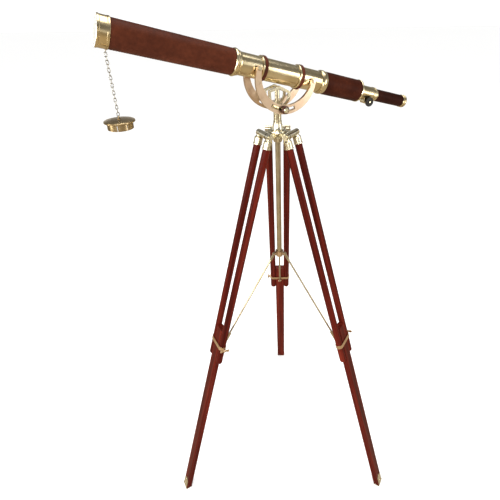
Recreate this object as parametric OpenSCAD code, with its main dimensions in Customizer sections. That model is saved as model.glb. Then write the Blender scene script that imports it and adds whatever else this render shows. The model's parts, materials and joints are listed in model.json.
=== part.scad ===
// Floor-standing telescope on a folding wooden tripod, in millimetres.
// +Z is up. The origin lies on the floor, midway between the three feet, under the column.

/* [Tripod] */
// Height of the leg pivots above the floor
hub_z = 1380; // [1280:10:1430]
// Distance of each foot from the column axis
foot_r = 444; // [414:5:464]
// Distance of each leg pivot from the column axis
pivot_r = 43; // [41:0.5:46]
// Spacing of the two upper rods of a leg
rod_spacing = 55; // [53:0.5:57]
// Diameter of an upper rod
rod_d = 22; // [21:0.5:22.5]
// Length from the pivot to the lower end of the upper rods
rod_end = 788; // [768:5:818]
// Distance from the pivot to the clamp strap
strap_at = 722; // [705:1:735]
// Distance from the pivot to the top end of the lower leg
lower_top = 662; // [627:5:677]
// Diameter of the centre column
column_d = 16; // [15:0.5:17]
// Height of the spreader collar when the legs are spread
collar_z = 971; // [965:1:980]

/* [Mount] */
// Turn of the telescope about the column
azimuth = 28.3; // [0:0.1:59]
// Height of the tilt centre
tilt_z = 1530; // [1527:1:1537]
// Distance of the tilt centre from the column axis, towards the eye
tilt_x = 10; // [9:0.5:11]
// Nose-up tilt of the tube
tilt = 15.5; // [-10:0.5:30]
// Outer radius of a half-moon
moon_r = 91; // [90:0.5:92]
// Thickness of a half-moon
moon_t = 8; // [6:0.5:8.5]
// Radius from the tilt centre to the clamp bolt
bolt_r = 78.2; // [77:0.1:79]

/* [Telescope] */
// Outer diameter of the main brass tube
main_d = 57; // [56:0.5:57]
// Outer diameter of the front brass tube
front_d = 60; // [60:0.5:61]
// Outer diameter of the front leather wrap
front_wrap_d = 64; // [63:0.5:65]
// Outer diameter of the rear leather wrap
rear_wrap_d = 62; // [61:0.5:63]
// Outer diameter of the eyepiece leather wrap
eye_wrap_d = 36; // [35.5:0.5:37]
// Outer diameter of the lens cap
cap_d = 70; // [69:0.5:72]

/* [Hidden] */
$fn = 64;

// Running clearance of a shaft in its bore
run = 0.05;
// Gap between faces that pass each other
gap = 0.5;

// Leg directions, seen from above
az_left = 210;
az_right = 330;
az_rear = 90;

// Leg geometry, measured along the leg from its pivot
splay = atan((foot_r - pivot_r) / hub_z);
leg_len = sqrt(pow(foot_r - pivot_r, 2) + pow(hub_z, 2));
rod_r = rod_d / 2;
rod_off = rod_spacing / 2;
rod_top = 15;
rod_chamfer = 4;
socket_r = 13;
socket_len = 34;
bar_r = 5;
eye_r = 9;
lug_half = 17;
eye_in = 19.5;
eye_out = 35.5;
board_half_w = 18;
board_half_t = 10;
board_corner = 3;
board_groove_r = rod_r + 0.4;
strap_w = 12;
strap_t = 1.6;
strap_in = rod_r + 0.05;
tab_at = 24;
tab_pin_r = 1.8;
wing_y = rod_off + strap_in + strap_t;
wing_r = 3;
wing_boss = 3;
wing_boss_r = 5.5;
shoe_wall = 1.6;
// Length of leg drawn below the floor and cut off level
spare = 20;
shoe_sole = 3;

// Spreader geometry
collar_r = 13;
collar_half_h = 7;
collar_pin_at = 20;
ear_gap = 2.3;
ear_t = 2.2;
pin_r = 2;
tab_r = pivot_r + strap_at * sin(splay) - tab_at * cos(splay);
tab_z = hub_z - strap_at * cos(splay) - tab_at * sin(splay);
spreader_len = sqrt(pow(tab_r - collar_pin_at, 2) + pow(collar_z - tab_z, 2));
spreader_tilt = atan((tab_r - collar_pin_at) / (collar_z - tab_z));
spreader_r = 3;
spreader_slot = 8;
spreader_slot_r = 3.4;
spreader_top_r = 4.5;
spreader_end_r = 6.5;
spreader_t = 3.6;
rivet_r = 3.2;
rivet_h = 0.6;

// Mount geometry, heights above the floor
hub_top = hub_z + 8;
hub_bottom = hub_z - 12;
socket_top = hub_z + 34;
post_r = 11;
spigot_r = 8;
bolt_drop = sqrt(bolt_r * bolt_r - tilt_x * tilt_x);
bolt_z = tilt_z - bolt_drop;
clamp_r = 4;
moon_in = 31;
moon_out = moon_in + moon_t;
barrel_r = 12;

// Telescope geometry along the tube axis, from the tilt centre towards the eye
axis_up = 10;
tip_pin_r = 2.5;
rim_x = -455.5;
cell_end = -428.5;
front_end = -145.5;
bead1_end = -128.5;
moon_tip = 84;
bead2_x = 119.5;
rear_x = 137.5;
flange_x = 268.5;
body_x = 282.5;
body_end = 333.5;
draw_end = 344.5;
wrap_end = 460.5;
eye_end = 475.5;
tube_wall = 1.5;
main_r = main_d / 2;
main_in = main_r - tube_wall;
front_r = front_d / 2;
draw_r = 17;
cell_r = 33.2;
cell_bore = 29.3;
body_r = 20;
pinion_x = 313.5;
pinion_down = 23;
pinion_r = 4;
pinion_teeth = 10;
rack_pitch = 2 * PI * pinion_r / pinion_teeth;

// Cap and chain
eye_x = -432;
link_wire = 0.85;
link_bend = 2.6;
link_straight = 4.55;
link_gap = 0.1;
link_half = link_straight / 2 + link_bend;
link_pitch = 2 * link_half - 2 * link_wire - link_gap;
link_count = 17;
ring_r = 2.6;
ring_wire = 0.9;

// ---------- frames ----------

// Frame of one leg: origin at its pivot, -Z along the leg, +X outwards, +Y tangential
module leg_frame(az) {
    rotate([0, 0, az])
        translate([pivot_r, 0, hub_z])
            rotate([0, -splay, 0])
                children();
}

// Frame of the mount: origin on the column axis at the height of the tilt centre,
// +X level towards the eye, -Y to the front side
module mount_frame() {
    translate([0, 0, tilt_z])
        rotate([0, 0, azimuth])
            children();
}

// Frame of the half-moons: origin at the tilt centre, tilted with the tube
module moon_frame() {
    mount_frame()
        translate([tilt_x, 0, 0])
            rotate([0, tilt, 0])
                children();
}

// Frame of the tube axis, +X towards the eye
module tube_frame() {
    moon_frame()
        translate([0, 0, axis_up])
            children();
}

// ---------- shared shapes ----------

// Hollow cylinder along X
module pipe_x(x0, x1, ro, ri) {
    translate([x0, 0, 0])
        rotate([0, 90, 0])
            difference() {
                cylinder(r = ro, h = x1 - x0);
                translate([0, 0, -1])
                    cylinder(r = ri, h = x1 - x0 + 2);
            }
}

// Turned shape along X from a profile of [x, radius] points
module turned_x(points) {
    rotate([0, 90, 0])
        rotate_extrude()
            polygon([for (p = points) [p[1], p[0]]]);
}

// How far a sphere of radius ball falls back at distance r from its axis
function sag(ball, r) = ball - sqrt(ball * ball - r * r);

// Double-convex lens along X, t thick in the middle, with edge radius r
module lens_x(x, r, ball, t) {
    steps = 7;
    turned_x(concat(
        [for (i = [0:steps]) [x + sag(ball, r * i / steps), r * i / steps]],
        [for (i = [steps:-1:0]) [x + t - sag(ball, r * i / steps), r * i / steps]]
    ));
}

// Cylinder along Y from y0 to y1 at [x, z]
module rod_y(x, z, y0, y1, r) {
    translate([x, y0, z])
        rotate([-90, 0, 0])
            cylinder(r = r, h = y1 - y0);
}

// Plate standing in the XZ plane, from y0 with thickness t
module plate_xz(y0, t) {
    translate([0, y0 + t, 0])
        rotate([90, 0, 0])
            linear_extrude(height = t)
                children();
}

// Round bar along Z with bevelled ends
module bevelled_bar(r, z0, z1, c) {
    rotate_extrude()
        polygon([
            [0, z0], [r - c, z0], [r - 0.3 * c, z0 + 0.35 * c], [r, z0 + c],
            [r, z1], [0, z1]
        ]);
}

// ---------- tripod head ----------

module hub_casting() {
    color("gold")
        difference() {
            union() {
                translate([0, 0, hub_bottom])
                    cylinder(r = 22, h = 18);
                translate([0, 0, hub_top - 5])
                    cylinder(r1 = 27, r2 = 25.5, h = 5);
                translate([0, 0, hub_bottom - 14])
                    cylinder(r1 = 12, r2 = 16, h = 14);
                for (az = [az_left, az_right, az_rear])
                    rotate([0, 0, az]) {
                        translate([0, 0, hub_z - 7])
                            linear_extrude(height = 12)
                                polygon([[0, -20], [pivot_r, -lug_half], [pivot_r, lug_half], [0, 20]]);
                        rod_y(pivot_r, hub_z, -lug_half, lug_half, 9.5);
                    }
            }
            translate([0, 0, hub_z - 10])
                cylinder(r = spigot_r + run, h = 40);
            translate([0, 0, hub_bottom - 20])
                cylinder(r = column_d / 2, h = 22);
            for (az = [az_left, az_right, az_rear])
                rotate([0, 0, az])
                    rod_y(pivot_r, hub_z, -lug_half - 1, lug_half + 1, bar_r);
        }
}

module swivel_socket() {
    h = socket_top - hub_top;
    steps = 8;
    throat_r = 12;
    bell_r = 5;
    color("gold")
        translate([0, 0, hub_top])
            rotate_extrude()
                polygon(concat(
                    [[spigot_r + run, 0], [18, 0], [18, 2]],
                    [for (i = [0:steps]) [
                        throat_r + bell_r * pow(1 - i / steps, 2.2),
                        2.6 + (h - 2.6) * i / steps
                    ]],
                    [[spigot_r + run, h]]
                ));
}

module leg_pivot_bars() {
    cap = 2;
    cap_r = 7.5;
    color("goldenrod")
        for (az = [az_left, az_right, az_rear])
            rotate([0, 0, az]) {
                rod_y(pivot_r, hub_z, -eye_out - gap - cap, eye_out + gap + cap, bar_r);
                rod_y(pivot_r, hub_z, eye_out + gap, eye_out + gap + cap, cap_r);
                rod_y(pivot_r, hub_z, -eye_out - gap - cap, -eye_out - gap, cap_r);
            }
}

module column_tube() {
    color("goldenrod")
        translate([0, 0, collar_z - 12])
            difference() {
                cylinder(r = column_d / 2, h = hub_bottom - collar_z + 10);
                translate([0, 0, -1])
                    cylinder(r = column_d / 2 - tube_wall, h = hub_bottom - collar_z + 12);
            }
}

module column_stop_nut() {
    top = collar_z - collar_half_h - gap;
    color("gold")
        difference() {
            union() {
                translate([0, 0, top - 5])
                    cylinder(r = 11, h = 5);
                translate([0, 0, top - 10])
                    cylinder(r1 = 5, r2 = 10, h = 5);
            }
            translate([0, 0, collar_z - 12])
                cylinder(r = column_d / 2, h = 20);
        }
}

// ---------- spreaders ----------

// Pair of ears standing along +X with a cross bore
module clevis(x0, x1, r) {
    for (side = [-1, 1])
        difference() {
            union() {
                translate([x0, side > 0 ? ear_gap : -ear_gap - ear_t, -r])
                    cube([x1 - x0, ear_t, 2 * r]);
                translate([0, side > 0 ? ear_gap : -ear_gap - ear_t, 0])
                    rod_y(x1, 0, 0, ear_t, r);
            }
            rod_y(x1, 0, -10, 10, pin_r);
        }
}

// Heads on the two ends of a pin through a pair of ears
module rivet_heads(x) {
    for (side = [-1, 1])
        translate([0, side * (ear_gap + ear_t + rivet_h), 0])
            rod_y(x, 0, -rivet_h, rivet_h, rivet_r);
}

module spreader_collar() {
    color("gold")
        translate([0, 0, collar_z])
            difference() {
                union() {
                    translate([0, 0, -collar_half_h])
                        cylinder(r = collar_r, h = 2 * collar_half_h);
                    for (az = [az_left, az_right, az_rear])
                        rotate([0, 0, az])
                            clevis(collar_r - 4, collar_pin_at, spreader_top_r);
                }
                translate([0, 0, -20])
                    cylinder(r = column_d / 2 + run, h = 40);
            }
}

module collar_pins() {
    color("goldenrod")
        for (az = [az_left, az_right, az_rear])
            rotate([0, 0, az])
                translate([0, 0, collar_z]) {
                    rod_y(collar_pin_at, 0, -ear_gap - ear_t, ear_gap + ear_t, pin_r);
                    rivet_heads(collar_pin_at);
                }
}

// Rod from the collar to a leg's clamp strap, with a slotted lower eye
module spreader(az) {
    t = spreader_t;
    color("darkgoldenrod")
        rotate([0, 0, az])
            translate([collar_pin_at, 0, collar_z])
                rotate([0, -spreader_tilt, 0])
                    difference() {
                        union() {
                            rod_y(0, 0, -t / 2, t / 2, spreader_top_r);
                            translate([-spreader_top_r, -t / 2, -26])
                                cube([2 * spreader_top_r, t, 26]);
                            translate([0, 0, -spreader_len + 24])
                                cylinder(r = spreader_r, h = spreader_len - 46);
                            translate([-spreader_end_r, -t / 2, -spreader_len])
                                cube([2 * spreader_end_r, t, 32]);
                            rod_y(0, -spreader_len, -t / 2, t / 2, spreader_end_r);
                        }
                        rod_y(0, 0, -10, 10, pin_r + run);
                        rod_y(0, -spreader_len, -10, 10, spreader_slot_r);
                        rod_y(0, -spreader_len + spreader_slot, -10, 10, spreader_slot_r);
                        translate([-spreader_slot_r, -10, -spreader_len])
                            cube([2 * spreader_slot_r, 20, spreader_slot]);
                    }
}

// ---------- legs ----------

module rod_sockets(az) {
    color("gold")
        leg_frame(az)
            for (side = [-1, 1]) {
                y0 = side > 0 ? eye_in : -eye_out;
                difference() {
                    union() {
                        rod_y(0, 0, y0, y0 + eye_out - eye_in, eye_r);
                        translate([0, side * rod_off, 0])
                            rotate_extrude()
                                polygon([
                                    [0, -socket_len], [socket_r, -socket_len], [socket_r, -socket_len + 3],
                                    [socket_r - 0.8, -socket_len + 4], [socket_r - 0.8, -14],
                                    [8.2, -9], [7.6, -4], [0, -4]
                                ]);
                    }
                    rod_y(0, 0, -50, 50, bar_r + run);
                    translate([0, side * rod_off, -socket_len - 1])
                        cylinder(r = rod_r, h = socket_len - rod_top + 1);
                }
            }
}

module upper_rods(az) {
    color("maroon")
        leg_frame(az)
            for (side = [-1, 1])
                translate([0, side * rod_off, 0])
                    bevelled_bar(rod_r, -rod_end, -rod_top, rod_chamfer);
}

// Outline round both rods at a given distance from them
module rod_pair_outline(r) {
    for (side = [-1, 1])
        translate([0, side * rod_off])
            circle(r = r);
    translate([-r, -rod_off])
        square([2 * r, rod_spacing]);
}

module clamp_strap(az) {
    color("gold")
        leg_frame(az)
            translate([0, 0, -strap_at]) {
                difference() {
                    union() {
                        translate([0, 0, -strap_w / 2])
                            linear_extrude(height = strap_w)
                                rod_pair_outline(strap_in + strap_t);
                        rod_y(0, 0, rod_off, wing_y + wing_boss, wing_boss_r);
                    }
                    translate([0, 0, -strap_w])
                        linear_extrude(height = 2 * strap_w)
                            rod_pair_outline(strap_in);
                    rod_y(0, 0, rod_off, wing_y + wing_boss + 1, wing_r + run);
                }
                mirror([1, 0, 0])
                    clevis(strap_in + strap_t, tab_at, spreader_top_r);
                rod_y(-tab_at, 0, -ear_gap - ear_t, ear_gap + ear_t, tab_pin_r);
                rivet_heads(-tab_at);
            }
}

module wing_screw(az) {
    y0 = wing_y + wing_boss + 0.3;
    color("goldenrod")
        leg_frame(az)
            translate([0, 0, -strap_at]) {
                rod_y(0, 0, y0 - 4.5, y0 + 8, wing_r);
                rod_y(0, 0, y0, y0 + 7, wing_boss_r);
                for (side = [-1, 1])
                    translate([0, y0 + 1.5, 0])
                        plate_xz(2, 2.4)
                            difference() {
                                union() {
                                    translate([side * 11, 0])
                                        circle(r = 5.5);
                                    translate([side * 5.5 - 5.5, -3.5])
                                        square([11, 7]);
                                }
                                circle(r = wing_r);
                            }
            }
}

// Cross-section of the sliding board, grooved to run between the rods
module board_outline() {
    c = board_corner;
    difference() {
        union() {
            for (sx = [-1, 1], sy = [-1, 1])
                translate([sx * (board_half_t - c), sy * (board_half_w - c)])
                    circle(r = c);
            translate([-board_half_t, -board_half_w + c])
                square([2 * board_half_t, 2 * (board_half_w - c)]);
            translate([-board_half_t + c, -board_half_w])
                square([2 * (board_half_t - c), 2 * board_half_w]);
        }
        for (side = [-1, 1])
            translate([0, side * rod_off])
                circle(r = board_groove_r);
    }
}

// Half the width of a block that covers the whole stand
reach = 600;

// Everything below a height
module below(z) {
    translate([-reach, -reach, z - 200])
        cube([2 * reach, 2 * reach, 200]);
}

module lower_leg(az) {
    color("maroon")
        difference() {
            leg_frame(az)
                translate([0, 0, -leg_len - spare])
                    linear_extrude(height = leg_len + spare - lower_top)
                        board_outline();
            below(shoe_sole);
        }
}

module foot_shoe(az) {
    w = shoe_wall;
    plate = 30;
    plate_half = 14;
    color("gold")
        difference() {
            leg_frame(az)
                translate([0, 0, -leg_len - spare]) {
                    translate([board_half_t, -plate_half, 0])
                        cube([w, 2 * plate_half, spare + plate]);
                    translate([board_half_t, 0, spare + plate])
                        rotate([0, 90, 0])
                            cylinder(r = plate_half, h = w);
                    for (h = [14, 34])
                        translate([board_half_t + w, 0, spare + h])
                            rotate([0, 90, 0])
                                cylinder(r1 = 3.2, r2 = 2, h = 1.2);
                }
            below(0);
        }
    color("gold")
        intersection() {
            leg_frame(az)
                translate([-board_half_t, -board_half_w, -leg_len - spare])
                    cube([2 * board_half_t + w, 2 * board_half_w, 60]);
            translate([-reach, -reach, 0])
                cube([2 * reach, 2 * reach, shoe_sole]);
        }
}

// ---------- mount ----------

module swivel_post() {
    color("gold")
        union() {
            translate([0, 0, hub_z - 8])
                cylinder(r = spigot_r, h = socket_top - hub_z + 9);
            translate([0, 0, socket_top + 0.3])
                cylinder(r1 = post_r + 1, r2 = post_r, h = 2);
            translate([0, 0, socket_top + 2.3])
                cylinder(r = post_r, h = bolt_z - barrel_r - socket_top - 1.3);
        }
}

// Outline of a cheek: pointed roof under the tube, curving in to the foot
module cheek_outline(inset) {
    k = inset;
    polygon([
        [-0.12 * k, -19.2 - 1.07 * k], [34 - 1.04 * k, -38 - 0.57 * k], [33 - k, -51],
        [29.5 - k, -60], [23 - k, -69 + 0.3 * k], [13 - k, -78 + 0.8 * k], [0, -85 + 1.8 * k],
        [-13 + k, -78 + 0.8 * k], [-23 + k, -69 + 0.3 * k], [-29.5 + k, -60], [-33 + k, -51],
        [-34 + 1.01 * k, -29 - 0.74 * k]
    ]);
}

module post_head() {
    z = -bolt_drop;
    color("gold")
        mount_frame()
            difference() {
                union() {
                    for (y0 = [-16, 11])
                        plate_xz(y0, 5)
                            difference() {
                                cheek_outline(0);
                                cheek_outline(7);
                            }
                    rod_y(0, z, -moon_in + gap, moon_in - gap, barrel_r);
                    translate([0, 0, z])
                        cylinder(r = 6.5, h = 48);
                    translate([0, 0, z + 48])
                        cylinder(r1 = 6.5, r2 = 3.5, h = 3);
                }
                rod_y(0, z, -60, 60, clamp_r + run);
                translate([0, 0, z - 30])
                    cylinder(r = post_r, h = 30 - barrel_r + 1);
            }
}

module clamp_bolt() {
    z = -bolt_drop;
    color("goldenrod")
        mount_frame() {
            rod_y(0, z, -moon_out - 13, moon_out + 4, clamp_r);
            translate([0, moon_out + gap, z])
                rotate([-90, 0, 0])
                    cylinder(r = 8, h = 4.5, $fn = 6);
        }
}

module clamp_knob() {
    color("saddlebrown")
        mount_frame()
            translate([0, -moon_out - gap, -bolt_drop])
                rotate([90, 0, 0])
                    difference() {
                        union() {
                            cylinder(r = 8, h = 2);
                            translate([0, 0, 2])
                                cylinder(r1 = 9, r2 = 11, h = 2);
                            translate([0, 0, 4])
                                cylinder(r = 11, h = 5);
                            translate([0, 0, 9])
                                cylinder(r1 = 11, r2 = 9.5, h = 1.5);
                        }
                        translate([0, 0, -1])
                            cylinder(r = clamp_r + run, h = 20);
                        translate([0, 0, 7])
                            cylinder(r = 7.5, h = 10);
                    }
}

module clamp_knob_cap() {
    color("gold")
        mount_frame()
            translate([0, -moon_out - gap - 7, -bolt_drop])
                rotate([90, 0, 0])
                    difference() {
                        union() {
                            cylinder(r = 7.45, h = 5);
                            translate([0, 0, 5])
                                cylinder(r1 = 7.45, r2 = 5, h = 2);
                        }
                        translate([0, 0, -1])
                            cylinder(r = clamp_r + run, h = 7);
                    }
}

// Crescent with rounded tips, a curved clamp slot and two tip holes
module moon_outline() {
    rise = 11;
    inner_r = 77.5;
    slot_r = clamp_r + 0.4;
    bolt_turn = atan(tilt_x / bolt_drop);
    slot_from = -15 - bolt_turn;
    slot_to = 40 - bolt_turn;
    mid = (slot_from + slot_to) / 2;
    far = 130;
    difference() {
        union() {
            difference() {
                circle(r = moon_r, $fn = 96);
                translate([0, rise])
                    circle(r = inner_r, $fn = 96);
                translate([-far, axis_up])
                    square([2 * far, far]);
            }
            for (side = [-1, 1])
                translate([side * moon_tip, axis_up])
                    circle(r = 7);
        }
        intersection() {
            difference() {
                circle(r = bolt_r + slot_r, $fn = 96);
                circle(r = bolt_r - slot_r, $fn = 96);
            }
            polygon([
                [0, 0], [far * sin(slot_from), -far * cos(slot_from)],
                [far * 1.2 * sin(mid), -far * 1.2 * cos(mid)],
                [far * sin(slot_to), -far * cos(slot_to)]
            ]);
        }
        for (side = [-1, 1])
            translate([side * moon_tip, axis_up])
                circle(r = tip_pin_r);
    }
}

module half_moon(y0) {
    color("gold")
        moon_frame()
            plate_xz(y0, moon_t)
                moon_outline();
}

module half_moon_front() {
    half_moon(-moon_out);
}

module half_moon_rear() {
    half_moon(moon_in);
}

module half_moon_bolts() {
    color("goldenrod")
        tube_frame()
            for (side = [0, 180], x = [-moon_tip, moon_tip])
                translate([x, 0, 0])
                    rotate([0, 0, side]) {
                        rod_y(0, 0, main_in - 2, moon_out + 1, tip_pin_r);
                        difference() {
                            rod_y(0, 0, main_r - 3, moon_in, 6);
                            rotate([0, 90, 0])
                                cylinder(r = main_r, h = 40, center = true);
                        }
                        translate([0, moon_out, 0])
                            rotate([-90, 0, 0])
                                cylinder(r1 = 5.5, r2 = 4.5, h = 3);
                    }
}

module saddle_rings() {
    color("gold")
        tube_frame()
            for (x = [-70.5, 43.5])
                turned_x([
                    [x, main_r], [x, 30.5], [x + 1.5, 31.8], [x + 4.5, 31.8],
                    [x + 6, 31], [x + 6, main_r]
                ]);
}

module saddle_leathers() {
    color("saddlebrown")
        tube_frame()
            for (x = [-64.5, 49.5])
                turned_x([
                    [x, main_r], [x, 31.5], [x + 2, 32.8], [x + 6.5, 32.8],
                    [x + 8.5, 31.5], [x + 8.5, main_r]
                ]);
}

// ---------- telescope ----------

module objective_cell() {
    tube_end = rim_x + 17;
    color("gold")
        tube_frame()
            difference() {
                turned_x([
                    [rim_x, cell_bore], [rim_x, 33], [rim_x + 1, 34], [rim_x + 5, 34],
                    [rim_x + 6, cell_r], [cell_end - 6, cell_r], [cell_end - 5, 34],
                    [cell_end - 1, 34], [cell_end, 33], [cell_end, front_r],
                    [tube_end, front_r], [tube_end, cell_bore]
                ]);
                translate([eye_x, 0, -cell_r - 5])
                    cylinder(r = 1.2, h = 20);
            }
}

module objective_lens() {
    color("lightblue")
        tube_frame()
            lens_x(rim_x + 18, 28.4, 160, 9);
}

module lens_retainer() {
    color("gold")
        tube_frame()
            pipe_x(rim_x + 28, rim_x + 33, front_r - 1.5, 25);
}

module front_tube() {
    color("gold")
        tube_frame()
            pipe_x(rim_x + 17, bead1_end - 4, front_r, front_r - tube_wall);
}

module front_leather() {
    color("sienna")
        tube_frame()
            pipe_x(cell_end, front_end, front_wrap_d / 2, front_r);
}

module front_bead() {
    x = front_end;
    color("gold")
        tube_frame()
            turned_x([
                [x, front_r], [x, 31.5], [x + 1, 33], [x + 3, 34], [x + 6, 34], [x + 8, 33],
                [x + 9, 31.5], [x + 12, 31.5], [x + 14, 30.5], [bead1_end, 30], [bead1_end, main_r],
                [bead1_end - 4, main_r], [bead1_end - 4, front_r]
            ]);
}

module main_tube() {
    color("gold")
        tube_frame()
            difference() {
                pipe_x(bead1_end - 24, flange_x, main_r, main_in);
                for (x = [-moon_tip, moon_tip])
                    rod_y(x, 0, -40, 40, tip_pin_r);
            }
}

module rear_bead() {
    x = bead2_x;
    color("gold")
        tube_frame()
            turned_x([
                [x, main_r], [x, 29.5], [x + 2, 30], [x + 4, 31.8], [x + 7, 32.5], [x + 11, 32.5],
                [x + 14, 31.8], [rear_x, 31], [rear_x, main_r]
            ]);
}

module rear_leather() {
    color("sienna")
        tube_frame()
            pipe_x(rear_x, flange_x, rear_wrap_d / 2, main_r);
}

module rear_flange() {
    x = flange_x;
    color("gold")
        tube_frame()
            turned_x([
                [x - 8, body_r], [x - 8, main_in], [x, main_in], [x, 31.5], [x + 1, 32.3],
                [x + 4, 32.3], [x + 5, 31], [x + 7, 27], [x + 10, 23.5], [body_x, 22], [body_x, body_r]
            ]);
}

module focuser_body() {
    box = 13.5;
    color("gold")
        tube_frame()
            difference() {
                union() {
                    pipe_x(flange_x - 6, body_end, body_r, draw_r + run);
                    pipe_x(body_end - 4, body_end, body_r + 1, draw_r + run);
                    difference() {
                        union() {
                            translate([pinion_x - box, -box, -pinion_down - 3])
                                cube([2 * box, 2 * box, 12]);
                            rod_y(pinion_x, -pinion_down - 1, -box, box, 7.5);
                        }
                        rotate([0, 90, 0])
                            cylinder(r = body_r - 1, h = 500);
                    }
                }
                translate([flange_x - 10, -3.4, -body_r - 1.5])
                    cube([body_end - flange_x + 20, 6.8, 10]);
                rod_y(pinion_x, -pinion_down, -5.2, 5.2, 6);
                rod_y(pinion_x, -pinion_down, -30, 30, 3 + run);
                rotate([0, 90, 0])
                    cylinder(r = draw_r + run, h = 500);
            }
}

module focus_pinion() {
    color("goldenrod")
        tube_frame() {
            rod_y(pinion_x, -pinion_down, -26.5, 14.5, 3);
            translate([pinion_x, 0, -pinion_down])
                for (i = [0:pinion_teeth - 1])
                    rotate([0, (i + 0.5) * 360 / pinion_teeth, 0])
                        plate_xz(-3, 6)
                            polygon([
                                [-0.75, 2.5], [0.75, 2.5],
                                [0.35, pinion_r + 0.65], [-0.35, pinion_r + 0.65]
                            ]);
        }
}

module focus_knob() {
    color("black")
        tube_frame()
            translate([pinion_x, -15, -pinion_down])
                rotate([90, 0, 0])
                    difference() {
                        union() {
                            cylinder(r = 5, h = 4);
                            translate([0, 0, 4])
                                cylinder(r1 = 13, r2 = 14, h = 1);
                            translate([0, 0, 5])
                                cylinder(r = 14, h = 5.5);
                            translate([0, 0, 10.5])
                                cylinder(r1 = 14, r2 = 12, h = 1.5);
                        }
                        translate([0, 0, -1])
                            cylinder(r = 3, h = 16);
                    }
}

module draw_tube() {
    color("gold")
        tube_frame()
            pipe_x(228, wrap_end, draw_r, draw_r - tube_wall);
}

module focus_rack() {
    x0 = 255.5;
    x1 = 323.5;
    base = -draw_r - 0.02;
    line = -pinion_down + pinion_r;
    n = floor((x1 - x0) / rack_pitch);
    phase = pinion_x - floor((pinion_x - x0) / rack_pitch) * rack_pitch;
    color("goldenrod")
        tube_frame() {
            translate([x0, -3, line + 0.75])
                cube([x1 - x0, 6, base - line - 0.75]);
            for (i = [0:n - 1])
                translate([phase + i * rack_pitch, 0, 0])
                    plate_xz(-3, 6)
                        polygon([
                            [-0.7, line + 0.8], [0.7, line + 0.8], [0.3, line - 0.65], [-0.3, line - 0.65]
                        ]);
        }
}

module draw_ring() {
    x = body_end + 0.4;
    color("gold")
        tube_frame()
            turned_x([
                [x, draw_r], [x, 20], [x + 1, 21], [x + 5, 21], [x + 6, 20], [x + 8, 19],
                [draw_end, 19], [draw_end, draw_r]
            ]);
}

module eyepiece_leather() {
    color("sienna")
        tube_frame()
            pipe_x(draw_end, wrap_end, eye_wrap_d / 2, draw_r);
}

module eyepiece_ring() {
    x = wrap_end;
    color("gold")
        tube_frame()
            turned_x([
                [x - 6, draw_r - tube_wall], [x, draw_r - tube_wall],
                [x, 18.5], [x + 1, 19.5], [x + 4, 19.5],
                [x + 5, 18.5], [x + 8, 18.5], [x + 9, 19.8], [eye_end - 2, 19.8], [eye_end, 18],
                [eye_end, 15.5], [eye_end - 3, 9], [eye_end - 5, 6], [eye_end - 9, 6],
                [eye_end - 12, 11], [x - 6, 11]
            ]);
}

module eyepiece_lenses() {
    color("lightblue")
        tube_frame() {
            lens_x(236, 15.5, 40, 9);
            lens_x(310, 15.5, 40, 9);
            lens_x(eye_end - 24, 11, 24, 8);
        }
}

// ---------- cap and chain ----------

// Place of the lowest wire of the chain eye's ring, in the mount frame
eye_down = cell_r + 4.5;
hang_x = tilt_x + eye_x * cos(tilt) + (axis_up - eye_down - ring_r) * sin(tilt);
hang_z = -eye_x * sin(tilt) + (axis_up - eye_down - ring_r) * cos(tilt);

// Height of a link's centre from that wire
ring_seat = ring_wire + link_wire + link_gap / 2;
function link_z(i) = ring_seat - link_half - i * link_pitch;

module torus_y(r, wire) {
    rotate([90, 0, 0])
        rotate_extrude()
            translate([r, 0])
                circle(r = wire, $fn = 24);
}

module chain_eye() {
    color("silver")
        tube_frame()
            translate([eye_x, 0, 0]) {
                translate([0, 0, -cell_r - 1.8])
                    cylinder(r = 1.2, h = 4.2);
                translate([0, 0, -eye_down])
                    rotate([0, 0, 90])
                        torus_y(ring_r, ring_wire);
            }
}

// One oval link centred at the origin, its length along Z and its plane XZ
module chain_link() {
    for (end = [-1, 1])
        translate([0, 0, end * link_straight / 2])
            rotate([90, end > 0 ? 0 : 180, 0])
                rotate_extrude(angle = 180)
                    translate([link_bend, 0])
                        circle(r = link_wire, $fn = 24);
    for (side = [-1, 1])
        translate([side * link_bend, 0, -link_straight / 2])
            cylinder(r = link_wire, h = link_straight, $fn = 24);
}

module cap_chain() {
    color("silver")
        mount_frame()
            translate([hang_x, 0, hang_z])
                for (i = [0:link_count - 1])
                    translate([0, 0, link_z(i)])
                        rotate([0, 0, i % 2 == 0 ? 0 : 90])
                            chain_link();
}

module lens_cap() {
    wall_r = cell_bore - 0.2;
    ring_z = link_z(link_count - 1) - link_half + ring_seat - ring_r;
    top_z = ring_z - ring_r - 0.4;
    rim = top_z - 5;
    color("gold")
        mount_frame()
            translate([hang_x, 0, hang_z]) {
                translate([0, 0, ring_z])
                    rotate([0, 0, 90])
                        torus_y(ring_r, ring_wire);
                difference() {
                    rotate_extrude()
                        polygon([
                            [0, top_z], [4, top_z], [4, top_z - 1], [18, top_z - 1.8], [28, top_z - 3.2],
                            [33.5, top_z - 4.6], [cap_d / 2, rim - 0.8], [cap_d / 2, rim - 3.2],
                            [34, rim - 4], [wall_r, rim - 4], [wall_r, rim - 19], [wall_r - 2, rim - 20],
                            [wall_r - 2, rim - 4], [32, rim - 3], [32, rim - 2], [0, top_z - 3.4]
                        ]);
                    for (a = [0:45:315])
                        rotate([0, 0, a + 22.5])
                            translate([20, -0.8, rim - 24])
                                cube([12, 1.6, 19]);
                }
            }
}

// ---------- one module per leg and side ----------

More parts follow.
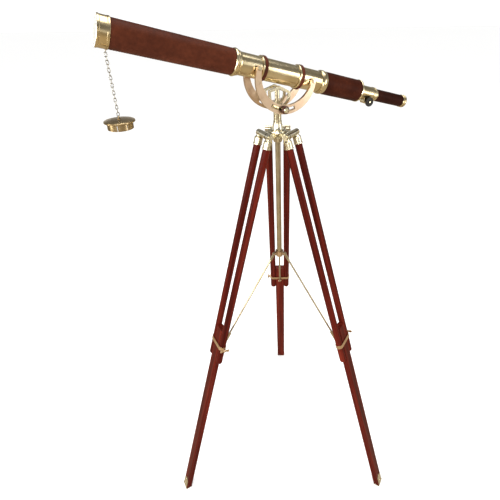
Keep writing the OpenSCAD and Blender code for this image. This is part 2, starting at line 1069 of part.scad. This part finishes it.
module rod_sockets_left() { rod_sockets(az_left); }
module rod_sockets_right() { rod_sockets(az_right); }
module rod_sockets_rear() { rod_sockets(az_rear); }
module upper_rods_left() { upper_rods(az_left); }
module upper_rods_right() { upper_rods(az_right); }
module upper_rods_rear() { upper_rods(az_rear); }
module clamp_strap_left() { clamp_strap(az_left); }
module clamp_strap_right() { clamp_strap(az_right); }
module clamp_strap_rear() { clamp_strap(az_rear); }
module wing_screw_left() { wing_screw(az_left); }
module wing_screw_right() { wing_screw(az_right); }
module wing_screw_rear() { wing_screw(az_rear); }
module lower_leg_left() { lower_leg(az_left); }
module lower_leg_right() { lower_leg(az_right); }
module lower_leg_rear() { lower_leg(az_rear); }
module foot_shoe_left() { foot_shoe(az_left); }
module foot_shoe_right() { foot_shoe(az_right); }
module foot_shoe_rear() { foot_shoe(az_rear); }
module spreader_left() { spreader(az_left); }
module spreader_right() { spreader(az_right); }
module spreader_rear() { spreader(az_rear); }

hub_casting();
swivel_socket();
leg_pivot_bars();
column_tube();
column_stop_nut();
spreader_collar();
collar_pins();
rod_sockets_left();
upper_rods_left();
clamp_strap_left();
wing_screw_left();
lower_leg_left();
foot_shoe_left();
spreader_left();
rod_sockets_right();
upper_rods_right();
clamp_strap_right();
wing_screw_right();
lower_leg_right();
foot_shoe_right();
spreader_right();
rod_sockets_rear();
upper_rods_rear();
clamp_strap_rear();
wing_screw_rear();
lower_leg_rear();
foot_shoe_rear();
spreader_rear();
swivel_post();
post_head();
clamp_bolt();
clamp_knob();
clamp_knob_cap();
half_moon_front();
half_moon_rear();
half_moon_bolts();
saddle_rings();
saddle_leathers();
objective_cell();
objective_lens();
lens_retainer();
front_tube();
front_leather();
front_bead();
main_tube();
rear_bead();
rear_leather();
rear_flange();
focuser_body();
focus_pinion();
focus_knob();
draw_tube();
focus_rack();
draw_ring();
eyepiece_leather();
eyepiece_ring();
eyepiece_lenses();
chain_eye();
cap_chain();
lens_cap();
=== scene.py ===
"""Looks of the telescope on its folding tripod: materials, wraps, knobs, wing screws, camera and light."""

import json
import math

import bpy
from mathutils import Matrix, Vector

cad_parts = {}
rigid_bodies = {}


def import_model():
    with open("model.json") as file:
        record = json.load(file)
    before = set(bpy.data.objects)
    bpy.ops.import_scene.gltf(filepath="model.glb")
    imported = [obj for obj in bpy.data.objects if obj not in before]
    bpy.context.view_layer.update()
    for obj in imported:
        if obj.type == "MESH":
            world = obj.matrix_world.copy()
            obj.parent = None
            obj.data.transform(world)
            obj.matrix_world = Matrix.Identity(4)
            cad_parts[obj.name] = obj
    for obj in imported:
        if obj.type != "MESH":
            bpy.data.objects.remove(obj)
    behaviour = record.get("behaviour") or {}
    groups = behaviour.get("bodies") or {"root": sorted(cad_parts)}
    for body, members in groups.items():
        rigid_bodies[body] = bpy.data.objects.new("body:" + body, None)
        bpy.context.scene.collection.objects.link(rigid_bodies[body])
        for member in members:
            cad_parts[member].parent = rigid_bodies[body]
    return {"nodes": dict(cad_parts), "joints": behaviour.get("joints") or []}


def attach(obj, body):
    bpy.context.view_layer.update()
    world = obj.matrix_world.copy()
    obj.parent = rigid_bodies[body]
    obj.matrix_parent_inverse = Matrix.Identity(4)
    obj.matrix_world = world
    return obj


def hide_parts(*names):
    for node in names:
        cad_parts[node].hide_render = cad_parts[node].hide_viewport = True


for leftover in list(bpy.data.objects):
    bpy.data.objects.remove(leftover)

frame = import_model()
nodes = frame["nodes"]
joints = {j["name"]: j for j in frame["joints"]}
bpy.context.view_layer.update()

MM = 0.001
TURN = 2 * math.pi
SIDES = ("left", "right", "rear")

# ---------- frames, worked out from the joints ----------

AXIS_UP = 10 * MM  # tube axis above the tilt centre
CELL_BORE_R = 29.7 * MM  # just outside the objective cell's bore
CELL_LIP = 0.4 * MM  # depth of its front edge, painted near-white as a highlight


def frame_matrix(origin, x, y, z):
    """4x4 matrix of a right-handed frame."""
    m = Matrix((x, y, z)).transposed().to_4x4()
    m.translation = origin
    return m


def axis_of(joint):
    return Vector(joints[joint]["axis"]).normalized()


def place_of(joint):
    return Vector(joints[joint]["pos_m"])


tube_x = axis_of("draw_slide")
tube_y = axis_of("tilt")
tube_z = tube_x.cross(tube_y)
TUBE = frame_matrix(place_of("tilt") + AXIS_UP * tube_z, tube_x, tube_y, tube_z)


def leg_frame(side):
    """Frame of one leg: origin at its pivot, +Z up along the leg, +X outwards."""
    y = axis_of("leg_fold_" + side)
    z = axis_of("leg_extend_" + side)
    return frame_matrix(place_of("leg_fold_" + side), y.cross(z), y, z)


def turned_frame(joint, toward):
    """Frame whose +Z is a joint's axis, pointing toward a side of it."""
    z = axis_of(joint) * toward
    x = Vector((0, 0, 1)).cross(z).normalized()
    return frame_matrix(place_of(joint), x, z.cross(x), z)


def spans(name, into):
    """A CAD node's extent along a frame's X, and its least and greatest distance from that axis."""
    points = [into @ nodes[name].matrix_world @ v.co for v in nodes[name].data.vertices]
    radii = [math.hypot(p.y, p.z) for p in points]
    return min(p.x for p in points), max(p.x for p in points), min(radii), max(radii)


def tube_span(name):
    return spans(name, TUBE.inverted())


# ---------- node graphs ----------


def new_material(name, colour, roughness, metallic=0.0):
    """A material with one Principled shader."""
    material = bpy.data.materials.new(name)
    material.use_nodes = True
    shader = material.node_tree.nodes["Principled BSDF"]
    shader.inputs["Base Color"].default_value = (*colour, 1)
    shader.inputs["Roughness"].default_value = roughness
    shader.inputs["Metallic"].default_value = metallic
    return material, material.node_tree, shader


def add(tree, kind, settings=None, **inputs):
    """Adds a node; an input is a value, or a socket to link from."""
    made = tree.nodes.new(kind)
    for key, value in (settings or {}).items():
        setattr(made, key, value)
    for key, value in inputs.items():
        socket = made.inputs[int(key[1:])] if key[0] == "i" and key[1:].isdigit() else made.inputs[key]
        if isinstance(value, bpy.types.NodeSocket):
            tree.links.new(value, socket)
        else:
            socket.default_value = value
    return made


def object_coordinates(tree):
    return add(tree, "ShaderNodeTexCoord").outputs["Object"]


def moved(tree, vector, scale=(1, 1, 1), rotation=(0, 0, 0), location=(0, 0, 0)):
    settings = {"Vector": vector, "Scale": scale, "Rotation": rotation, "Location": location}
    return add(tree, "ShaderNodeMapping", **settings).outputs[0]


def noise(tree, vector, scale, detail=3.0, roughness=0.55, distortion=0.0):
    return add(
        tree, "ShaderNodeTexNoise",
        Vector=vector, Scale=scale, Detail=detail, Roughness=roughness, Distortion=distortion,
    ).outputs["Fac"]


def ramp(tree, factor, *stops):
    """Colour ramp; each stop is (position, colour or grey)."""
    made = add(tree, "ShaderNodeValToRGB", Fac=factor)
    elements = made.color_ramp.elements
    while len(elements) < len(stops):
        elements.new(0.5)
    for element, (position, value) in zip(elements, stops):
        element.position = position
        element.color = (*value, 1) if isinstance(value, tuple) else (value, value, value, 1)
    return made.outputs["Color"]


def math_node(tree, operation, a, b):
    return add(tree, "ShaderNodeMath", {"operation": operation}, i0=a, i1=b).outputs[0]


def span(tree, factor, low, high):
    """Maps 0..1 to low..high."""
    return add(tree, "ShaderNodeMapRange", Value=factor, **{"To Min": low, "To Max": high}).outputs[0]


def mix(tree, factor, a, b, blend="MIX"):
    made = add(tree, "ShaderNodeMix", {"data_type": "RGBA", "blend_type": blend})
    for socket, value in ((made.inputs[0], factor), (made.inputs[6], a), (made.inputs[7], b)):
        if isinstance(value, bpy.types.NodeSocket):
            tree.links.new(value, socket)
        elif isinstance(value, tuple):
            socket.default_value = (*value, 1)
        else:
            socket.default_value = value
    return made.outputs[2]


def bump(tree, shader, height, strength, distance, edge=0.0):
    """Fine relief; edge is the radius of the softened corners in metres."""
    made = add(tree, "ShaderNodeBump", Height=height, Strength=strength, Distance=distance)
    if edge:
        corner = add(tree, "ShaderNodeBevel", {"samples": 4}, Radius=edge).outputs["Normal"]
        tree.links.new(corner, made.inputs["Normal"])
    tree.links.new(made.outputs["Normal"], shader.inputs["Normal"])


# ---------- materials ----------


def brass(name, bright, deep, roughness=0.16, scratch=0.35, painted_bore_reflection=None):
    """Polished brass with hand marks, fine scratches and painted shade darkening the hollows."""
    material, tree, shader = new_material(name, bright, roughness, metallic=1.0)
    where = object_coordinates(tree)
    clouds = noise(tree, where, 22, detail=4)
    # painted shade: ambient occlusion darkens the colour in hollows and between parts
    painted_hollow_shade = add(tree, "ShaderNodeAmbientOcclusion", {"samples": 4}, Distance=0.008).outputs["AO"]
    tone = mix(tree, ramp(tree, clouds, (0.38, 0.0), (0.66, 0.8)), bright, deep)
    tone = mix(tree, ramp(tree, painted_hollow_shade, (0.2, 0.8), (0.9, 0.0)), tone, tuple(0.3 * c for c in deep))
    # painted reflection: the cell's bore and front lip get a near-white, less metallic colour in place of
    # the bright reflection seen there
    if painted_bore_reflection:
        bore = painted_bore_reflection(tree, where)
        tone = mix(tree, bore, tone, (0.90, 0.89, 0.84))
        tree.links.new(span(tree, bore, 1.0, 0.25), shader.inputs["Metallic"])
    tree.links.new(tone, shader.inputs["Base Color"])
    smears = noise(tree, where, 60, detail=6, roughness=0.7)
    lines = noise(tree, moved(tree, where, scale=(40, 1500, 900)), 1.0, detail=2)
    dull = math_node(tree, "ADD", span(tree, smears, -0.06, 0.14), span(tree, lines, 0.0, 0.1 * scratch))
    tree.links.new(math_node(tree, "ADD", dull, roughness), shader.inputs["Roughness"])
    waves = noise(tree, where, 140, detail=2)
    bump(tree, shader, waves, 0.14, 0.0004, edge=0.5 * MM)
    return material


def cell_reflection_mask(tree, where):
    """1 on the bore and front lip of the objective cell, which get a painted pale reflection, 0 elsewhere.
    """
    into = TUBE.inverted()
    local = moved(tree, where, rotation=into.to_euler("XYZ"), location=into.translation)
    parts = add(tree, "ShaderNodeSeparateXYZ", Vector=local)
    radius = math_node(tree, "SQRT", math_node(
        tree, "ADD",
        math_node(tree, "MULTIPLY", parts.outputs["Y"], parts.outputs["Y"]),
        math_node(tree, "MULTIPLY", parts.outputs["Z"], parts.outputs["Z"]),
    ), 0.0)
    bore = math_node(tree, "LESS_THAN", radius, CELL_BORE_R)
    lip = math_node(tree, "LESS_THAN", parts.outputs["X"], tube_span("objective_cell")[0] + CELL_LIP)
    return math_node(tree, "MAXIMUM", bore, lip)


def leather(name, base, light, dark, grain=1.0):
    """Dull waxed leather: cloudy colour and a small pebbled grain with pores."""
    material, tree, shader = new_material(name, base, 0.5)
    shader.inputs["Specular IOR Level"].default_value = 0.05
    where = object_coordinates(tree)
    clouds = noise(tree, where, 16, detail=5, roughness=0.6)
    mottle = noise(tree, where, 120, detail=4, roughness=0.65)
    tone = ramp(tree, clouds, (0.32, dark), (0.5, base), (0.7, light))
    tone = mix(tree, ramp(tree, mottle, (0.38, 0.32), (0.62, 0.0)), tone, tuple(0.6 * c for c in dark))
    tree.links.new(tone, shader.inputs["Base Color"])
    cells = add(
        tree, "ShaderNodeTexVoronoi", {"feature": "DISTANCE_TO_EDGE"},
        Vector=where, Scale=1250.0 * grain, Randomness=1.0,
    ).outputs["Distance"]
    pores = noise(tree, where, 900, detail=2)
    height = math_node(tree, "ADD", span(tree, cells, 0.0, 1.6), span(tree, pores, 0.0, 0.5))
    tree.links.new(span(tree, mottle, 0.34, 0.56), shader.inputs["Roughness"])
    bump(tree, shader, height, 0.22, 0.0003)
    return material


def varnished_wood(name, into_leg):
    """Red mahogany under a thin varnish, the grain running along one leg."""
    base, light, dark = (0.078, 0.0070, 0.0034), (0.128, 0.0150, 0.0072), (0.032, 0.0033, 0.0020)
    material, tree, shader = new_material(name, base, 0.3)
    shader.inputs["Specular IOR Level"].default_value = 0.03
    where = object_coordinates(tree)
    along = moved(tree, where, rotation=into_leg.to_euler("XYZ"), location=into_leg.translation)
    grain = moved(tree, along, scale=(55, 55, 2.2))
    figure = noise(tree, grain, 1.0, detail=5, roughness=0.6, distortion=0.6)
    streaks = noise(tree, moved(tree, along, scale=(420, 420, 7)), 1.0, detail=3)
    pores = noise(tree, moved(tree, along, scale=(1500, 1500, 45)), 1.0, detail=1)
    tone = ramp(tree, figure, (0.33, dark), (0.5, base), (0.68, light))
    tone = mix(tree, ramp(tree, streaks, (0.45, 0.0), (0.7, 0.55)), tone, dark)
    tone = mix(tree, ramp(tree, pores, (0.62, 0.0), (0.72, 0.6)), tone, (0.018, 0.004, 0.003))
    tree.links.new(tone, shader.inputs["Base Color"])
    tree.links.new(span(tree, figure, 0.24, 0.4), shader.inputs["Roughness"])
    shader.inputs["Coat Weight"].default_value = 0.06
    shader.inputs["Coat Roughness"].default_value = 0.1
    bump(tree, shader, streaks, 0.08, 0.0003, edge=1.0 * MM)
    return material


def dark_plastic(name, colour, roughness):
    """Turned and polished resin with a faint swirl."""
    material, tree, shader = new_material(name, colour, roughness)
    where = object_coordinates(tree)
    swirl = noise(tree, where, 90, detail=4, distortion=1.2)
    tone = ramp(tree, swirl, (0.35, tuple(0.6 * c for c in colour)), (0.65, colour))
    tree.links.new(tone, shader.inputs["Base Color"])
    dull = span(tree, noise(tree, where, 300), roughness - 0.06, roughness + 0.12)
    tree.links.new(dull, shader.inputs["Roughness"])
    bump(tree, shader, noise(tree, where, 700), 0.1, 0.0002)
    return material


def plated_steel(name):
    """Nickel-plated wire with slight grey tarnish."""
    colour = (0.60, 0.58, 0.52)
    material, tree, shader = new_material(name, colour, 0.25, metallic=1.0)
    patches = noise(tree, object_coordinates(tree), 260, detail=4)
    tone = ramp(tree, patches, (0.35, (0.33, 0.31, 0.27)), (0.6, colour))
    tree.links.new(tone, shader.inputs["Base Color"])
    tree.links.new(span(tree, patches, 0.36, 0.16), shader.inputs["Roughness"])
    return material


def coated_glass(name):
    """Lens glass with a thin bloom of coating."""
    material, tree, shader = new_material(name, (0.90, 0.96, 0.97), 0.02)
    shader.inputs["Transmission Weight"].default_value = 1.0
    shader.inputs["IOR"].default_value = 1.52
    dust = noise(tree, object_coordinates(tree), 500, detail=5)
    tree.links.new(ramp(tree, dust, (0.55, 0.015), (0.75, 0.07)), shader.inputs["Roughness"])
    return material


def waxed_thread(name):
    colour = (0.20, 0.11, 0.055)
    material, tree, shader = new_material(name, colour, 0.6)
    strands = noise(tree, object_coordinates(tree), 1800, detail=2)
    tone = ramp(tree, strands, (0.35, (0.10, 0.05, 0.025)), (0.65, colour))
    tree.links.new(tone, shader.inputs["Base Color"])
    bump(tree, shader, strands, 0.4, 0.0002)
    return material


TUBE_BRASS = brass("tube_brass", (0.82, 0.70, 0.45), (0.66, 0.52, 0.28))
CELL_BRASS = brass("cell_brass", (0.76, 0.62, 0.38), (0.62, 0.46, 0.22), painted_bore_reflection=cell_reflection_mask)
PALE_BRASS = brass("pale_brass", (0.88, 0.82, 0.62), (0.74, 0.64, 0.42), roughness=0.17, scratch=0.6)
MOON_BRASS = brass("moon_brass", (0.86, 0.68, 0.50), (0.74, 0.52, 0.34), roughness=0.24, scratch=0.6)
ROD_BRASS = brass("rod_brass", (0.62, 0.53, 0.36), (0.46, 0.37, 0.21), roughness=0.24, scratch=0.8)
STRAP_BRASS = brass("strap_brass", (0.80, 0.60, 0.40), (0.66, 0.44, 0.25), roughness=0.22, scratch=0.6)
CAP_BRONZE = brass("cap_bronze", (0.58, 0.44, 0.24), (0.36, 0.25, 0.11), roughness=0.17, scratch=0.9)
FRONT_LEATHER = leather(
    "front_leather", (0.064, 0.0150, 0.0062), (0.086, 0.0210, 0.0085), (0.044, 0.0105, 0.0046),
)
REAR_LEATHER = leather(
    "rear_leather", (0.036, 0.0070, 0.0026), (0.054, 0.0115, 0.0042), (0.022, 0.0044, 0.0019),
)
EYE_LEATHER = leather(
    "eye_leather", (0.023, 0.0048, 0.0021), (0.035, 0.0080, 0.0034), (0.014, 0.0032, 0.0016),
)
RING_LEATHER = leather(
    "ring_leather", (0.085, 0.020, 0.010), (0.125, 0.032, 0.015), (0.040, 0.011, 0.006), grain=1.3,
)
KNOB_BROWN = dark_plastic("knob_brown", (0.075, 0.018, 0.009), 0.22)
KNOB_BLACK = dark_plastic("knob_black", (0.012, 0.009, 0.007), 0.34)
CHAIN_STEEL = plated_steel("chain_steel")
LENS_GLASS = coated_glass("lens_glass")
THREAD = waxed_thread("waxed_thread")

PALE_NODES = (
    "hub_casting", "swivel_socket", "post_head", "swivel_post", "clamp_bolt",
    "clamp_knob_cap", "leg_pivot_bars",
)
PLAIN_NODES = {
    "half_moon_front": MOON_BRASS, "half_moon_rear": MOON_BRASS, "half_moon_bolts": PALE_BRASS,
    "column_tube": ROD_BRASS, "spreader_collar": STRAP_BRASS, "collar_pins": ROD_BRASS,
    "column_stop_nut": STRAP_BRASS, "objective_lens": LENS_GLASS, "eyepiece_lenses": LENS_GLASS,
    "cap_chain": CHAIN_STEEL, "chain_eye": CHAIN_STEEL, "saddle_leathers": RING_LEATHER,
    "clamp_knob": KNOB_BROWN, "focus_knob": KNOB_BLACK, "objective_cell": CELL_BRASS, "lens_cap": CAP_BRONZE,
}


def paint(name, material):
    """Puts one material on a CAD node."""
    mesh = nodes[name].data
    mesh.materials.clear()
    mesh.materials.append(material)


for name in nodes:
    paint(name, TUBE_BRASS)
for name in PALE_NODES:
    paint(name, PALE_BRASS)
for name, material in PLAIN_NODES.items():
    paint(name, material)
for side in SIDES:
    wood = varnished_wood("mahogany_" + side, leg_frame(side).inverted())
    paint("upper_rods_" + side, wood)
    paint("lower_leg_" + side, wood)
    paint("rod_sockets_" + side, PALE_BRASS)
    paint("clamp_strap_" + side, STRAP_BRASS)
    paint("foot_shoe_" + side, PALE_BRASS)
    paint("wing_screw_" + side, STRAP_BRASS)
    paint("spreader_" + side, ROD_BRASS)

# ---------- mesh helpers ----------


def make_object(name, points, faces, matrix, material, body, smooth=True):
    """A mesh object from points in its own frame, riding on a body."""
    mesh = bpy.data.meshes.new(name)
    mesh.from_pydata(points, [], faces)
    mesh.validate()
    for polygon in mesh.polygons:
        polygon.use_smooth = smooth
    mesh.materials.append(material)
    made = bpy.data.objects.new(name, mesh)
    bpy.context.scene.collection.objects.link(made)
    made.matrix_world = matrix
    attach(made, body)
    return made


def ring_faces(rings, around, closed):
    """Quads between rings of points; closed joins the last ring to the first."""
    faces = []
    for i in range(rings if closed else rings - 1):
        here, there = i * around, ((i + 1) % rings) * around
        for k in range(around):
            n = (k + 1) % around
            faces.append((here + k, here + n, there + n, there + k))
    return faces


# ---------- leather wraps ----------

SEAM_ANGLE = -math.pi / 2  # the seam runs along the underside


def leather_wrap(name, replaced, x0, x1, inner, outer, material, body):
    """A leather sleeve round the tube axis with rolled ends and a butted seam underneath."""
    around, corner_steps = 176, 5
    roll = min(1.4 * MM, (outer - inner) * 0.9)
    length = x1 - x0
    steps = max(8, round(length / (3 * MM)))

    def rolled(x, start):
        corner = [start + math.pi / 2 * i / corner_steps for i in range(corner_steps + 1)]
        return [(x + roll * math.cos(a), outer - roll + roll * math.sin(a)) for a in corner]

    outline = [(x0, inner), (x1, inner)] + rolled(x1 - roll, 0)
    outline += [(x1 - roll - (length - 2 * roll) * i / steps, outer) for i in range(1, steps)]
    outline += rolled(x0 + roll, math.pi / 2)
    points = []
    for x, r in outline:
        on_top = r > outer - 0.3 * roll
        for k in range(around):
            share = k / around * 2 - 1
            turn = math.copysign(abs(share) ** 1.6, share) * math.pi  # closer together at the seam
            arc = abs(turn) * outer
            groove = 0.85 * MM * math.exp(-((arc / (0.55 * MM)) ** 2))
            lip = 0.22 * MM * math.exp(-(((arc - 1.7 * MM) / (1.0 * MM)) ** 2))
            swell = 0.10 * MM * math.sin(x * 61 + 1.3) * math.sin(2 * turn + x * 23)
            here = r - groove + lip + swell - 0.12 * MM if on_top else r
            a = SEAM_ANGLE + turn
            points.append((x, here * math.cos(a), here * math.sin(a)))
    made = make_object(name, points, ring_faces(len(outline), around, True), TUBE, material, body)
    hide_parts(replaced)
    return made


def seam_stitches(name, x0, x1, outer, body):
    """Cross stitches of waxed thread over the seam, in one mesh."""
    pitch, reach, thread = 5.5 * MM, 2.3 * MM, 0.32 * MM
    rings, around = 9, 8
    points, faces = [], []
    count = int((x1 - x0 - 6 * MM) / pitch)
    start = (x0 + x1 - count * pitch) / 2
    for i in range(count):
        for way in (-1, 1):
            base = len(points)
            for ring in range(rings):
                t = ring / (rings - 1)
                x = start + (i + t) * pitch
                arc = way * reach * (1 - 2 * t)
                lift = math.sin(math.pi * t) ** 0.5 * (0.42 + 0.16 * way) * MM - 0.25 * MM
                a = SEAM_ANGLE + arc / outer
                centre = Vector((x, (outer + lift) * math.cos(a), (outer + lift) * math.sin(a)))
                up = Vector((0, math.cos(a), math.sin(a)))
                side = Vector((-2 * way * reach, 0, 0)) - up.cross(Vector((1, 0, 0))) * pitch
                side = (side - side.dot(up) * up).normalized()
                thick = thread * (0.55 + 0.45 * math.sin(math.pi * t) ** 0.5)
                for k in range(around):
                    b = TURN * k / around
                    points.append(tuple(centre + thick * (math.cos(b) * up + math.sin(b) * side)))
            faces += [tuple(base + n for n in f) for f in ring_faces(rings, around, False)]
            faces.append(tuple(base + k for k in reversed(range(around))))
            faces.append(tuple(base + (rings - 1) * around + k for k in range(around)))
    made = make_object(name, points, faces, TUBE, THREAD, body)
    return made


WRAPS = (
    # name, node, material, slot, body
    ("front_wrap", "front_leather", FRONT_LEATHER, "brown_leather", "telescope"),
    ("rear_wrap", "rear_leather", REAR_LEATHER, "dark_leather", "telescope"),
    ("eyepiece_wrap", "eyepiece_leather", EYE_LEATHER, "dark_leather", "draw"),
)
for name, replaced, material, slot, body in WRAPS:
    start, end, inner, outer = tube_span(replaced)
    leather_wrap(name, replaced, start, end, inner, outer, material, body)
    seam_stitches(name + "_stitches", start, end, outer, body)

# ---------- turned knobs and wing screws ----------


def fluted_wheel(name, replaced, profile, grips, depth, matrix, material, body):
    """A turned wheel about +Z whose rim points, marked True in the profile, carry rounded grips."""
    around = grips * 6
    points = []
    for r, z, gripped in profile:
        for k in range(around):
            a = TURN * k / around
            here = r - (depth * (0.5 - 0.5 * math.cos(a * grips)) if gripped else 0.0)
            points.append((here * math.cos(a), here * math.sin(a), z))
    made = make_object(name, points, ring_faces(len(profile), around, True), matrix, material, body)
    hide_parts(replaced)
    return made


def node_start(name, frame_there):
    """Where a CAD node begins along a frame's Z."""
    into = frame_there.inverted()
    return min((into @ nodes[name].matrix_world @ v.co).z for v in nodes[name].data.vertices)


def node_frame(name, joint, toward):
    """Frame along a joint's axis with its origin at the near end of a CAD node."""
    frame_there = turned_frame(joint, toward)
    return frame_there @ Matrix.Translation((0, 0, node_start(name, frame_there)))


def in_mm(profile):
    return [(r * MM, z * MM, gripped) for r, z, gripped in profile]


FOCUS_PROFILE = in_mm((
    (3.02, 0, False), (5, 0, False), (5, 3.6, False), (5.6, 4.0, False),
    (11.5, 4.0, False), (13.2, 4.4, True),
    (14, 5.2, True), (14, 10.2, True), (13.2, 11.2, True), (11.9, 11.9, False), (10.6, 12.0, False),
    (9.8, 11.2, False), (5.4, 10.9, False), (5.0, 11.9, False), (3.02, 12.0, False),
))
CLAMP_PROFILE = in_mm((
    (4.06, 0, False), (8, 0, False), (8, 2, False), (9.2, 2.2, False), (10.6, 3.4, True), (11, 4.4, True),
    (11, 8.8, True), (10.4, 9.8, True), (9.4, 10.5, False), (8.0, 10.5, False), (7.52, 10.0, False),
    (7.52, 7.0, False), (4.06, 7.0, False),
))
fluted_wheel(
    "focus_wheel", "focus_knob", FOCUS_PROFILE, 30, 0.7 * MM,
    node_frame("focus_knob", "focus_turn", -1), KNOB_BLACK, "pinion",
)
fluted_wheel(
    "clamp_wheel", "clamp_knob", CLAMP_PROFILE, 20, 0.7 * MM,
    node_frame("clamp_knob", "clamp_knob_turn", -1), KNOB_BROWN, "clamp_knob",
)

BARREL = (
    # radius, height
    (0.0, 0.0), (5.0, 0.0), (5.5, 0.5), (5.5, 5.4), (5.0, 6.6),
    (3.6, 7.2), (3.0, 7.6), (2.6, 8.0), (0.0, 8.0),
)
THREAD_LENGTH = 4.5 * MM  # from the screw's tip to the barrel
WING = (
    # distance from the screw's axis, half width along the leg, half thickness
    (3.2, 3.4, 1.7), (5.5, 3.5, 1.5), (7.5, 4.0, 1.35), (9.5, 4.9, 1.25), (11.5, 5.4, 1.2), (13.5, 5.2, 1.2),
    (15.2, 4.0, 1.15), (16.1, 2.6, 1.0), (16.5, 1.0, 0.6),
)


WING_HEIGHT, WING_RISE = 4.7, 0.11  # mm above the barrel's foot, and rise per mm outwards


def squared(part):
    """A sine or cosine drawn out so that the section is a rounded rectangle."""
    return math.copysign(abs(part) ** 0.8, part)


def wing_screw(side):
    """Thumb screw: a turned barrel on its thread, with two flat rounded wings."""
    points, faces = [], []

    def shell(rings, around):
        base = len(points)
        for ring in rings:
            points.extend(ring)
        faces.extend(tuple(base + n for n in f) for f in ring_faces(len(rings), around, False))
        faces.append(tuple(base + k for k in reversed(range(around))))
        faces.append(tuple(base + (len(rings) - 1) * around + k for k in range(around)))

    around = 40
    thread = [(3.0, -4.3), (3.0, 0.2)]
    for outline in (thread, [(max(r, 0.4), z) for r, z in BARREL]):
        shell([
            [
                (r * MM * math.cos(TURN * k / around), r * MM * math.sin(TURN * k / around), z * MM)
                for k in range(around)
            ]
            for r, z in outline
        ], around)
    wing_around = 28
    for way in (-1, 1):
        rings = []
        for x, half_wide, half_thick in WING:
            ring = []
            for k in range(wing_around):
                a = -way * TURN * k / wing_around
                height = WING_HEIGHT + (x - WING[0][0]) * WING_RISE
                ring.append((
                    way * x * MM,
                    half_wide * MM * squared(math.cos(a)),
                    (height + half_thick * squared(math.sin(a))) * MM,
                ))
            rings.append(ring)
        shell(rings, wing_around)
    node = "wing_screw_" + side
    joint = "wing_screw_turn_" + side
    outward = axis_of(joint)
    across = outward.cross(axis_of("leg_extend_" + side))
    seat = frame_matrix(place_of(joint), across, outward.cross(across), outward)
    seat = seat @ Matrix.Translation((0, 0, node_start(node, seat) + THREAD_LENGTH))
    made = make_object("wings_" + side, points, faces, seat, STRAP_BRASS, node)
    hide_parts(node)
    return made


for side in SIDES:
    wing_screw(side)

# ---------- camera, floor and light ----------


def studio_camera():
    """Standing eye height, looking down at the tripod from the front."""
    data = bpy.data.cameras.new("camera")
    data.sensor_width = 36
    data.lens = 28.43
    data.shift_x = -0.0579
    data.shift_y = -0.0609
    data.clip_start = 0.05
    camera = bpy.data.objects.new("camera", data)
    bpy.context.scene.collection.objects.link(camera)
    eye = (0, -1.1069, 1.7086)
    pitch = math.radians(28.98)  # downwards
    roll = -0.0145
    turn = Matrix.Rotation(math.pi / 2 - pitch, 4, "X") @ Matrix.Rotation(roll, 4, "Z")
    camera.matrix_world = Matrix.Translation(eye) @ turn
    bpy.context.scene.camera = camera


def floor():
    """A wide pale floor, which polished metal sees darker."""
    half = 30
    mesh = bpy.data.meshes.new("floor")
    corners = [(x * half, y * half, 0) for x, y in ((-1, -1), (1, -1), (1, 1), (-1, 1))]
    mesh.from_pydata(corners, [], [(0, 1, 2, 3)])
    pale, in_metal = (0.93, 0.93, 0.925), (0.30, 0.25, 0.18)
    material, tree, shader = new_material("floor_paint", pale, 0.9)
    tone = mix(tree, add(tree, "ShaderNodeLightPath").outputs["Is Glossy Ray"], pale, in_metal)
    tree.links.new(tone, shader.inputs["Base Color"])
    shader.inputs["Specular IOR Level"].default_value = 0.1
    mesh.materials.append(material)
    made = bpy.data.objects.new("floor", mesh)
    bpy.context.scene.collection.objects.link(made)


def softbox(name, place, target, width, height, power, colour=(1, 1, 1)):
    data = bpy.data.lights.new(name, "AREA")
    data.shape = "RECTANGLE"
    data.size = width
    data.size_y = height
    data.energy = power
    data.color = colour
    lamp = bpy.data.objects.new(name, data)
    bpy.context.scene.collection.objects.link(lamp)
    away = Vector(place) - Vector(target)
    lamp.matrix_world = Matrix.Translation(place) @ away.to_track_quat("Z", "Y").to_matrix().to_4x4()


def studio_world():
    """Even white light and backdrop; polished metal sees a white horizon under a greyer ceiling."""
    world = bpy.data.worlds.new("studio")
    world.use_nodes = True
    bpy.context.scene.world = world
    tree = world.node_tree
    background = tree.nodes["Background"]
    direction = add(tree, "ShaderNodeTexCoord").outputs["Generated"]
    parts = add(tree, "ShaderNodeSeparateXYZ", Vector=direction)
    bands = ((0.0, 0.95), (0.13, 0.9), (0.26, 0.30), (0.62, 0.20), (0.8, 0.42), (1.0, 0.55))
    up = ramp(tree, parts.outputs["Z"], *bands)
    panels = add(
        tree, "ShaderNodeTexWave", {"wave_type": "BANDS", "bands_direction": "X"},
        Vector=direction, Scale=0.9, Distortion=1.5, Detail=1.0,
    ).outputs["Fac"]
    shade = mix(tree, ramp(tree, panels, (0.2, 0.45), (0.7, 0.0)), up, (0.12, 0.11, 0.10))
    rays = add(tree, "ShaderNodeLightPath").outputs
    plain = math_node(tree, "MAXIMUM", rays["Is Camera Ray"], rays["Is Diffuse Ray"])
    white = 1.13
    tree.links.new(mix(tree, plain, shade, (white, white, white)), background.inputs["Color"])
    background.inputs["Strength"].default_value = 1.0


studio_camera()
floor()
studio_world()
middle = (0, 0, 1.1)
softbox("front_strip", (-0.9, -3.2, 1.9), (0, 0, 1.45), 2.6, 0.9, 70)
softbox("left_window", (-3.0, -1.6, 1.9), middle, 0.9, 2.4, 60, (1, 0.98, 0.95))
softbox("right_fill", (3.2, -1.2, 1.6), middle, 0.8, 2.2, 25)
softbox("top_light", (0.3, 0.4, 4.2), middle, 2.5, 2.5, 60)
bpy.context.scene.view_settings.view_transform = "Standard"
